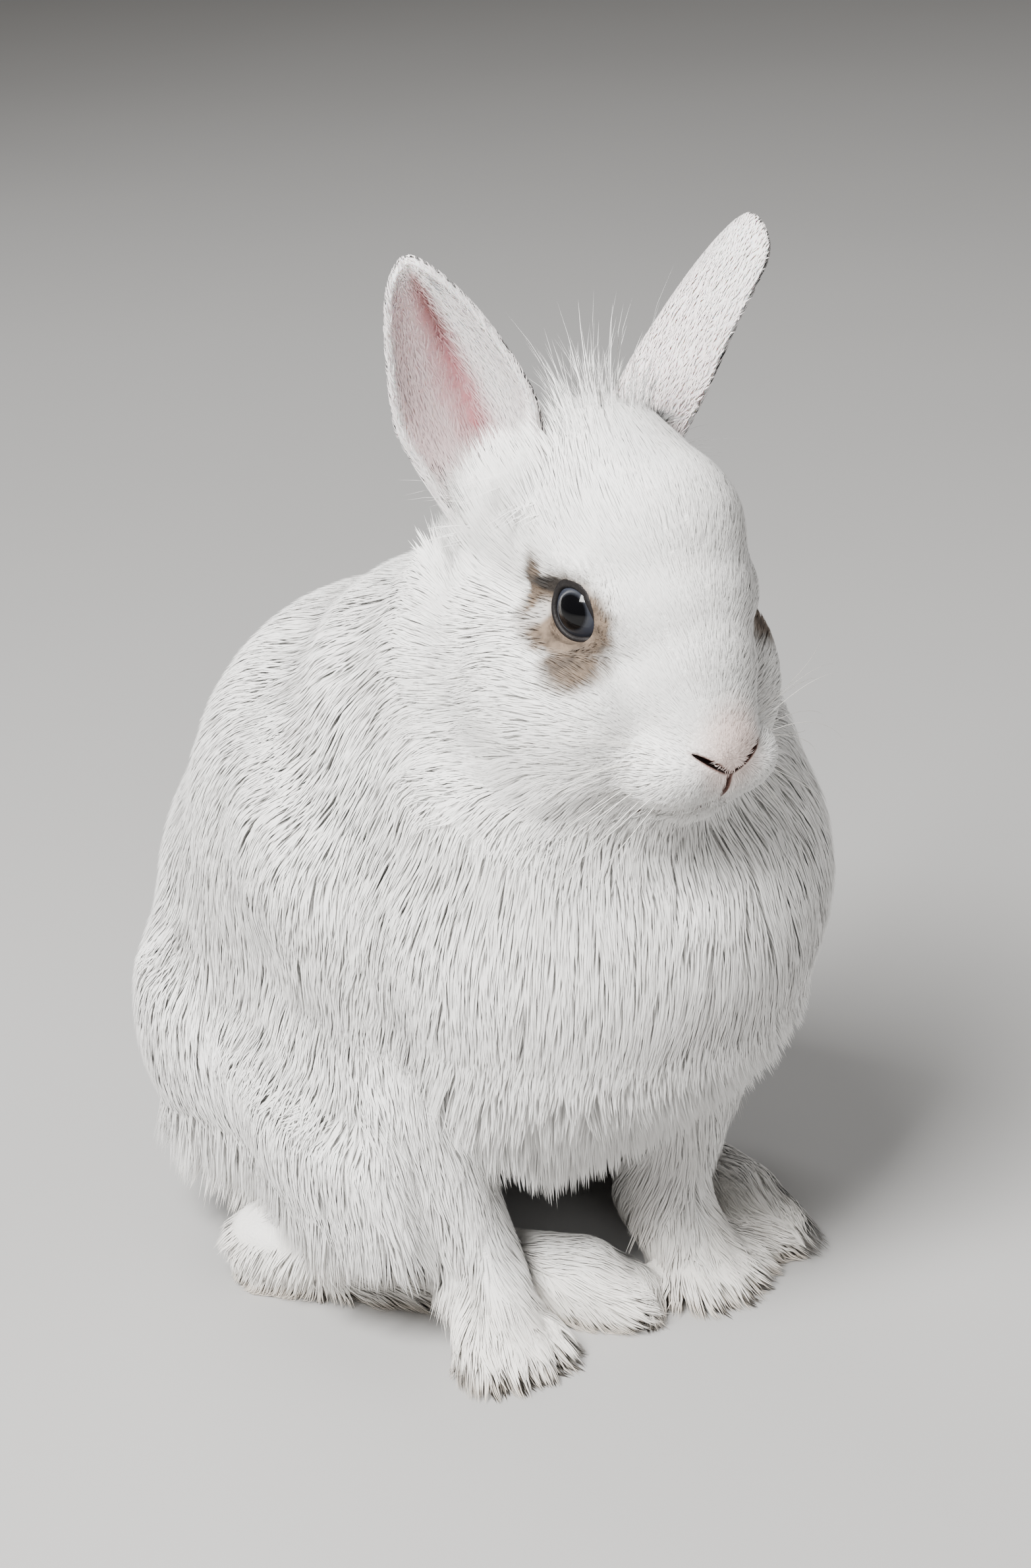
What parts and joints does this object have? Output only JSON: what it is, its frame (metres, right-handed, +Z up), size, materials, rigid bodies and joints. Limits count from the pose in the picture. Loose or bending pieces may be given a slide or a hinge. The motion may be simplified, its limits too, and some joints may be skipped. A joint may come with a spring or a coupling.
{
  "type": "still life-size model of a sitting domestic rabbit",
  "caption": "White pet rabbit sitting upright on its four feet, its head turned a little to its right and its ears pricked; a still museum-style display model.",
  "frame": {"origin": "on the floor under the middle of the animal's box", "axes": "+Z up to the ears, -Y the way the hips face, +X to the animal's left"},
  "size_m": [0.137, 0.2034, 0.2554],
  "materials": {
    "coat": "soft white fur",
    "ear": "thin pinkish skin under short white fur",
    "eye": "wet gloss, blue-grey iris and black pupil"
  },
  "bodies": {
    "root": {"torso": "coat", "neck": "coat", "head": "coat", "tail": "coat", "thigh_right": "coat", "thigh_left": "coat", "hind_foot_right": "coat", "hind_foot_left": "coat", "foreleg_right": "coat", "foreleg_left": "coat", "ear_right": "ear", "ear_left": "ear", "eye_right": "eye", "eye_left": "eye"}
  },
  "joints": []
}
